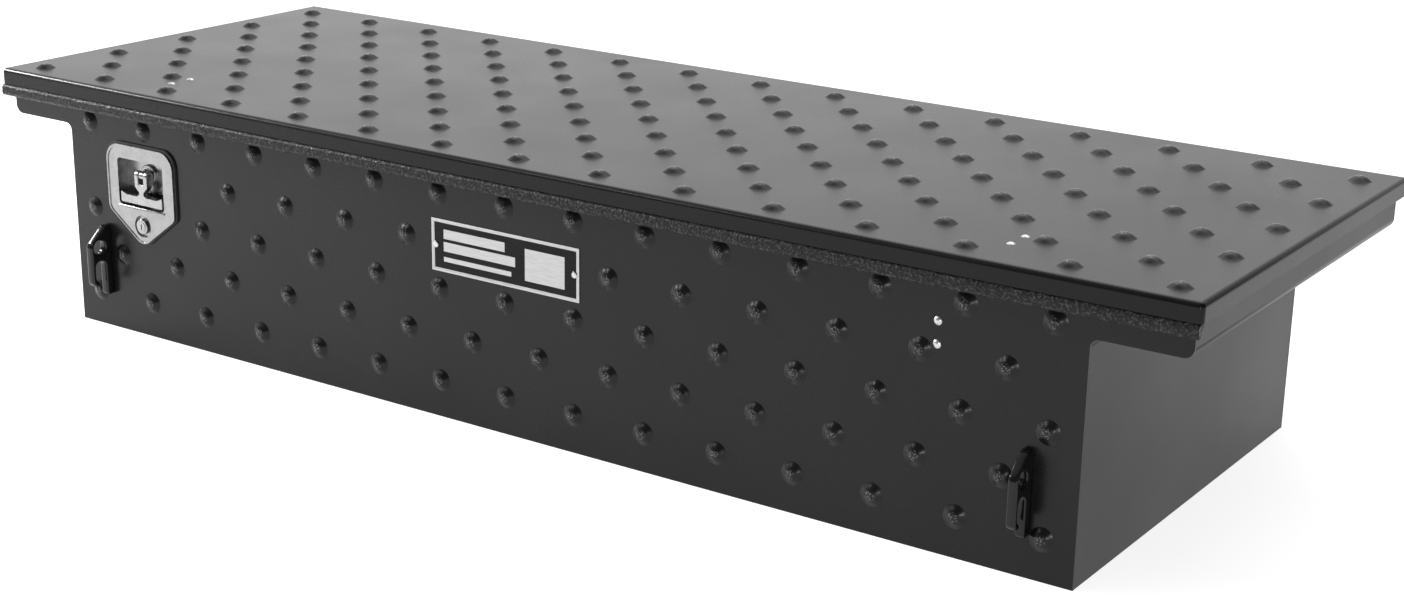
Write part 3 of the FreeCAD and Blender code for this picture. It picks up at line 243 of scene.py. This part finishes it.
class Nodes:
    """Short calls for building one material's node tree."""

    def __init__(self, name):
        self.material = bpy.data.materials.new(name)
        self.material.use_nodes = True
        self.tree = self.material.node_tree
        self.tree.nodes.clear()
        output = self.tree.nodes.new("ShaderNodeOutputMaterial")
        self.shader = self.tree.nodes.new("ShaderNodeBsdfPrincipled")
        self.join(self.shader.outputs["BSDF"], output.inputs["Surface"])
        self.coordinates = self.tree.nodes.new("ShaderNodeTexCoord").outputs["Object"]

    def join(self, source, target):
        self.tree.links.new(source, target)

    def set(self, **values):
        """Set the shader's own sockets; an underscore stands for a space in a socket's name."""
        for name, value in values.items():
            self.shader.inputs[name.replace("_", " ")].default_value = value

    def place(self, axis):
        """How far along an axis a point of the surface is."""
        split = self.tree.nodes.new("ShaderNodeSeparateXYZ")
        self.join(self.coordinates, split.inputs["Vector"])
        return split.outputs[axis]

    def noise(self, size, detail=2.0, roughness=0.5, stretch=(1, 1, 1)):
        """Noise whose grains are about size millimetres across; stretch makes them longer along an axis."""
        mapping = self.tree.nodes.new("ShaderNodeMapping")
        mapping.inputs["Scale"].default_value = [1 / (size * MM * part) for part in stretch]
        self.join(self.coordinates, mapping.inputs["Vector"])
        texture = self.tree.nodes.new("ShaderNodeTexNoise")
        texture.inputs["Scale"].default_value = 1.0
        texture.inputs["Detail"].default_value = detail
        texture.inputs["Roughness"].default_value = roughness
        self.join(mapping.outputs["Vector"], texture.inputs["Vector"])
        return texture.outputs["Fac"]

    def ramp(self, factor, stops):
        """Colours at places along a factor; a single number as a colour is a grey."""
        ramp = self.tree.nodes.new("ShaderNodeValToRGB")
        elements = ramp.color_ramp.elements
        while len(elements) < len(stops):
            elements.new(0.5)
        for element, (place, tone) in zip(elements, stops):
            element.position = place
            colour = (tone, tone, tone) if isinstance(tone, (int, float)) else tone
            element.color = (*colour, 1.0)
        self.join(factor, ramp.inputs["Fac"])
        return ramp.outputs["Color"]

    def spread(self, factor, low, high, around_middle=0.2):
        """From low to high as a factor goes from as much below its middle to as much above it."""
        return self.ramp(factor, [(0.5 - around_middle, low), (0.5 + around_middle, high)])

    def math(self, operation, first, second):
        step = self.tree.nodes.new("ShaderNodeMath")
        step.operation = operation
        for socket, value in zip(step.inputs, (first, second)):
            if isinstance(value, (int, float)):
                socket.default_value = value
            else:
                self.join(value, socket)
        return step.outputs["Value"]

    def share(self, first, second, part):
        """A part of one value and the rest of another."""
        return self.math("ADD", self.math("MULTIPLY", first, part), self.math("MULTIPLY", second, 1 - part))

    def mix(self, factor, first, second):
        step = self.tree.nodes.new("ShaderNodeMix")
        step.data_type = "RGBA"
        self.join(factor, step.inputs["Factor"])
        for socket, value in ((step.inputs["A"], first), (step.inputs["B"], second)):
            if isinstance(value, tuple):
                socket.default_value = (*value, 1.0)
            else:
                self.join(value, socket)
        return step.outputs["Result"]

    def raised(self, axis, level, side, reach=1.0):
        """0 up to a level along an axis, growing to 1 at reach millimetres past it; side is 1 or -1."""
        past = self.math("MULTIPLY", self.math("SUBTRACT", self.place(axis), level), side / (reach * MM))
        return self.math("MINIMUM", self.math("MAXIMUM", past, 0.0), 1.0)

    def colour(self, socket):
        self.join(socket, self.shader.inputs["Base Color"])

    def gloss(self, socket):
        self.join(socket, self.shader.inputs["Roughness"])

    def bump(self, height, depth):
        """Relief of up to depth millimetres."""
        node = self.tree.nodes.new("ShaderNodeBump")
        node.inputs["Distance"].default_value = depth * MM
        node.inputs["Strength"].default_value = 1.0
        self.join(height, node.inputs["Height"])
        self.join(node.outputs["Normal"], self.shader.inputs["Normal"])


def powder_coat(name, dark, light, gloss, index=1.42, grain=0.9, depth=0.02, painted_glint_domes=None):
    """Baked powder coat: orange-peel texture, slow changes of tone and fine dusty specks.
    The last argument gives the axis, level and side past which pale grains are painted on the tops of the
    raised bumps as glints."""
    nodes = Nodes(name)
    nodes.set(IOR=index)
    slow = nodes.noise(size=160, detail=3)
    fine = nodes.noise(size=grain, detail=3, roughness=0.6)
    tone = nodes.share(slow, fine, part=0.5)
    colour = nodes.spread(tone, dark, light, around_middle=0.15)
    if painted_glint_domes:
        # Painted glints: pale grains on the bump tops, past the given level, stand in for light catching them
        glint_noise = nodes.noise(size=PAINTED_GLINT_SIZE, detail=3, roughness=0.6)
        painted_glint = nodes.ramp(glint_noise, [(PAINTED_GLINT_FAINT, 0.0), (PAINTED_GLINT_FULL, 1.0)])
        colour = nodes.mix(nodes.math("MULTIPLY", painted_glint, nodes.raised(*painted_glint_domes)), colour, PAINTED_GLINT_COLOUR)
    nodes.colour(colour)
    nodes.gloss(nodes.spread(tone, *gloss, around_middle=0.15))
    nodes.bump(fine, depth)
    return nodes.material


def rough_rubber():
    """Coarse, sandy rubber with pale specks painted on the high points of its grain as glints."""
    nodes = Nodes("rough_rubber")
    nodes.set(IOR=1.36)
    black = 0.003
    dusty = 0.008
    painted_glint_tone = 0.045
    matt = 0.6
    polished = 0.3
    grain = nodes.noise(size=3.0, detail=3, roughness=0.6)
    # Painted glints: the highest points of the grain are coloured pale, as if lit
    nodes.colour(nodes.ramp(grain, [(0.47, black), (0.54, dusty), (0.64, painted_glint_tone)]))
    nodes.gloss(nodes.ramp(grain, [(0.4, matt), (0.66, polished)]))
    nodes.bump(grain, depth=0.5)
    return nodes.material


def smooth_rubber():
    """Dull black moulded rubber."""
    nodes = Nodes("seal_rubber")
    grain = nodes.noise(size=1.5, detail=3)
    nodes.colour(nodes.spread(grain, low=0.008, high=0.022))
    nodes.gloss(nodes.spread(grain, low=0.5, high=0.7))
    nodes.bump(grain, depth=0.05)
    return nodes.material


def metal(name, tone, gloss, grain, stretch=(1, 1, 1), depth=0.01, tint=(1, 1, 1)):
    """Bare metal with fine brushed or cast grain and slow smudges."""
    nodes = Nodes(name)
    nodes.set(Metallic=1.0)
    smudged = 0.76
    fine = nodes.noise(size=grain, detail=3, stretch=stretch)
    smudge = nodes.noise(size=14, detail=4)
    both = nodes.share(fine, smudge, part=0.4)
    dull = tuple(tone * smudged * part for part in tint)
    clean = tuple(tone * part for part in tint)
    nodes.colour(nodes.spread(both, dull, clean, around_middle=0.08))
    nodes.gloss(nodes.spread(both, *gloss, around_middle=0.08))
    nodes.bump(fine, depth)
    return nodes.material


def glossy_enamel(name, tone, gloss, index=1.45):
    """Thick glossy paint with a gently uneven skin."""
    nodes = Nodes(name)
    nodes.set(IOR=index)
    skin = nodes.noise(size=4, detail=2)
    nodes.colour(nodes.spread(skin, low=tone * 0.7, high=tone * 1.3))
    nodes.gloss(nodes.spread(skin, *gloss))
    nodes.bump(skin, depth=0.06)
    return nodes.material


def name_plate_material():
    """Brushed silver border and plain bars on a dark printed field, told apart by the place on the plate."""
    low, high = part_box("name_plate")
    middle = (Vector(low) + Vector(high)) / 2
    half = (Vector(high) - Vector(low)) / 2
    nodes = Nodes("name_plate")
    nodes.set(Metallic=1.0)

    def outside(x, z, half_length, half_height):
        """1 outside a rectangle and 0 inside it."""
        beyond = []
        for axis, centre, reach in (("X", x, half_length), ("Z", z, half_height)):
            distance = nodes.math("ABSOLUTE", nodes.math("SUBTRACT", nodes.place(axis), centre), 0.0)
            beyond.append(nodes.math("GREATER_THAN", distance, reach))
        return nodes.math("MAXIMUM", *beyond)

    silver = outside(middle.x, middle.z, half.x - PLATE_BORDER * MM, half.z - PLATE_BORDER * MM)
    for bar in PLATE_BARS:
        off_bar = outside(middle.x + bar["x"] * MM, middle.z + bar["z"] * MM,
                          bar["half_length"] * MM, bar["half_height"] * MM)
        silver = nodes.math("MAXIMUM", silver, nodes.math("SUBTRACT", 1.0, off_bar))
    brushed = nodes.noise(size=0.5, detail=3, stretch=(30, 1, 1))
    pale = nodes.spread(brushed, low=0.36, high=0.52)
    dark = nodes.spread(brushed, low=0.012, high=0.022)
    nodes.colour(nodes.mix(silver, dark, pale))
    nodes.gloss(nodes.spread(brushed, low=0.3, high=0.45))
    nodes.bump(brushed, depth=0.01)
    return nodes.material


def make_materials():
    """One material for each material slot of the record; grain and depth are in millimetres."""
    # Levels past which painted glints show on the bump tops of the lid and the front panel
    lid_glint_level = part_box("lid_skin")[1][2] - BUMP_HEIGHT + PAINTED_GLINT_START
    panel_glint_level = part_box("front_panel")[0][1] + BUMP_HEIGHT - PAINTED_GLINT_START
    return {
        "lid_powder_coat": powder_coat("lid_powder_coat", dark=0.003, light=0.006, gloss=(0.24, 0.32),
                                       index=1.29, painted_glint_domes=("Z", lid_glint_level, 1)),
        "panel_powder_coat": powder_coat("panel_powder_coat", dark=0.004, light=0.008, gloss=(0.22, 0.30),
                                         index=1.32, grain=1.4, depth=0.04, painted_glint_domes=("Y", panel_glint_level, -1)),
        "black_powder_coat": powder_coat("black_powder_coat", dark=0.012, light=0.020, gloss=(0.30, 0.40),
                                         index=1.29),
        "rough_rubber": rough_rubber(),
        "seal_rubber": smooth_rubber(),
        "hinge_steel": powder_coat("hinge_steel", dark=0.018, light=0.03, gloss=(0.3, 0.42),
                                   grain=0.8, depth=0.03),
        "zinc_steel": metal("zinc_steel", tone=0.62, gloss=(0.28, 0.42), grain=3.0, tint=(0.97, 0.99, 1.0)),
        "rivet_aluminium": metal("rivet_aluminium", tone=0.6, gloss=(0.25, 0.38), grain=0.6),
        "latch_stainless": metal("latch_stainless", tone=0.31, gloss=(0.18, 0.36), grain=0.5,
                                 stretch=(1, 1, 30)),
        "latch_cast": metal("latch_cast", tone=0.36, gloss=(0.20, 0.34), grain=1.2, depth=0.04),
        "lock_chrome": metal("lock_chrome", tone=0.33, gloss=(0.16, 0.26), grain=0.8),
        "cleat_enamel": glossy_enamel("cleat_enamel", tone=0.005, gloss=(0.08, 0.14), index=1.36),
        "name_plate": name_plate_material(),
        "strut_black": glossy_enamel("strut_black", tone=0.02, gloss=(0.25, 0.35)),
        "strut_chrome": metal("strut_chrome", tone=0.85, gloss=(0.06, 0.12), grain=1.0),
    }


# ---------------------------------------------------------------- floor, light and camera

def add_floor():
    """A pale, faintly glowing floor."""
    mesh = bpy.data.meshes.new("floor")
    corners = [(x, y, 0) for x, y in ((-1, -1), (1, -1), (1, 1), (-1, 1))]
    mesh.from_pydata([Vector(corner) * FLOOR_REACH for corner in corners], [], [(0, 1, 2, 3)])
    floor = bpy.data.objects.new("floor", mesh)
    bpy.context.scene.collection.objects.link(floor)
    nodes = Nodes("pale_floor")
    mottle = nodes.noise(size=FLOOR_PATCH, detail=2)
    nodes.colour(nodes.spread(mottle, low=FLOOR_DARK, high=FLOOR_LIGHT))
    nodes.set(Roughness=FLOOR_ROUGHNESS, Emission_Color=(1, 1, 1, 1), Emission_Strength=FLOOR_GLOW)
    give(floor, nodes.material)


def add_area_light(name, place, target, size, power, mirrored=True):
    """A soft box that faces its target."""
    lamp = bpy.data.lights.new(name, "AREA")
    lamp.shape = "RECTANGLE"
    lamp.size, lamp.size_y = size
    lamp.energy = power
    light = bpy.data.objects.new(name, lamp)
    light.location = place
    light.rotation_euler = (Vector(target) - Vector(place)).to_track_quat("-Z", "Y").to_euler()
    light.visible_glossy = mirrored
    bpy.context.scene.collection.objects.link(light)


def add_world():
    """A white studio: its reflections are bright behind the object and to its left, and darker in front."""
    world = bpy.data.worlds.new("studio")
    world.use_nodes = True
    tree = world.node_tree
    background = tree.nodes["Background"]
    background.inputs["Color"].default_value = (1, 1, 1, 1)
    direction = tree.nodes.new("ShaderNodeTexCoord").outputs["Generated"]
    sideways = tree.nodes.new("ShaderNodeVectorMath")
    sideways.operation = "DOT_PRODUCT"
    sideways.inputs[1].default_value = BRIGHT_SIDE
    tree.links.new(direction, sideways.inputs[0])
    shade = tree.nodes.new("ShaderNodeMapRange")
    limits = {"From Min": 0.0, "From Max": BRIGHT_REACH, "To Min": WORLD_FRONT, "To Max": WORLD_BACK}
    for socket, value in limits.items():
        shade.inputs[socket].default_value = value
    tree.links.new(sideways.outputs["Value"], shade.inputs["Value"])
    backdrop = tree.nodes.new("ShaderNodeMix")
    backdrop.inputs["B"].default_value = BACKDROP
    tree.links.new(tree.nodes.new("ShaderNodeLightPath").outputs["Is Camera Ray"], backdrop.inputs["Factor"])
    tree.links.new(shade.outputs["Result"], backdrop.inputs["A"])
    tree.links.new(backdrop.outputs["Result"], background.inputs["Strength"])
    bpy.context.scene.world = world


def add_camera():
    """The camera, turned by its heading, its tilt and then its roll."""
    level = math.cos(CAMERA_TILT)
    back = Vector((math.sin(CAMERA_HEADING) * level, -math.cos(CAMERA_HEADING) * level, math.sin(CAMERA_TILT)))
    right = Vector((math.cos(CAMERA_HEADING), math.sin(CAMERA_HEADING), 0))
    up = back.cross(right)
    rolled_right = right * math.cos(CAMERA_ROLL) + up * math.sin(CAMERA_ROLL)
    rolled_up = up * math.cos(CAMERA_ROLL) - right * math.sin(CAMERA_ROLL)
    data = bpy.data.cameras.new("camera")
    data.lens = CAMERA_LENS
    data.sensor_width = SENSOR_WIDTH
    camera = bpy.data.objects.new("camera", data)
    turn = Matrix((rolled_right, rolled_up, back)).transposed().to_4x4()
    camera.matrix_world = Matrix.Translation(CAMERA_PLACE) @ turn
    bpy.context.scene.collection.objects.link(camera)
    bpy.context.scene.camera = camera


# ---------------------------------------------------------------- the scene

materials = make_materials()
for name, node in frame["nodes"].items():
    give(node, materials[slot_of(name)])
for name, shape in FORGED.items():
    give(forged(name, **shape), materials[slot_of(name)])
for name, shape in SOFTENED.items():
    give(softened(name, **shape), materials[slot_of(name)])

add_floor()
add_world()
for name, setting in LIGHTS.items():
    add_area_light(name, **setting)
add_camera()
bpy.context.scene.view_settings.view_transform = "Standard"
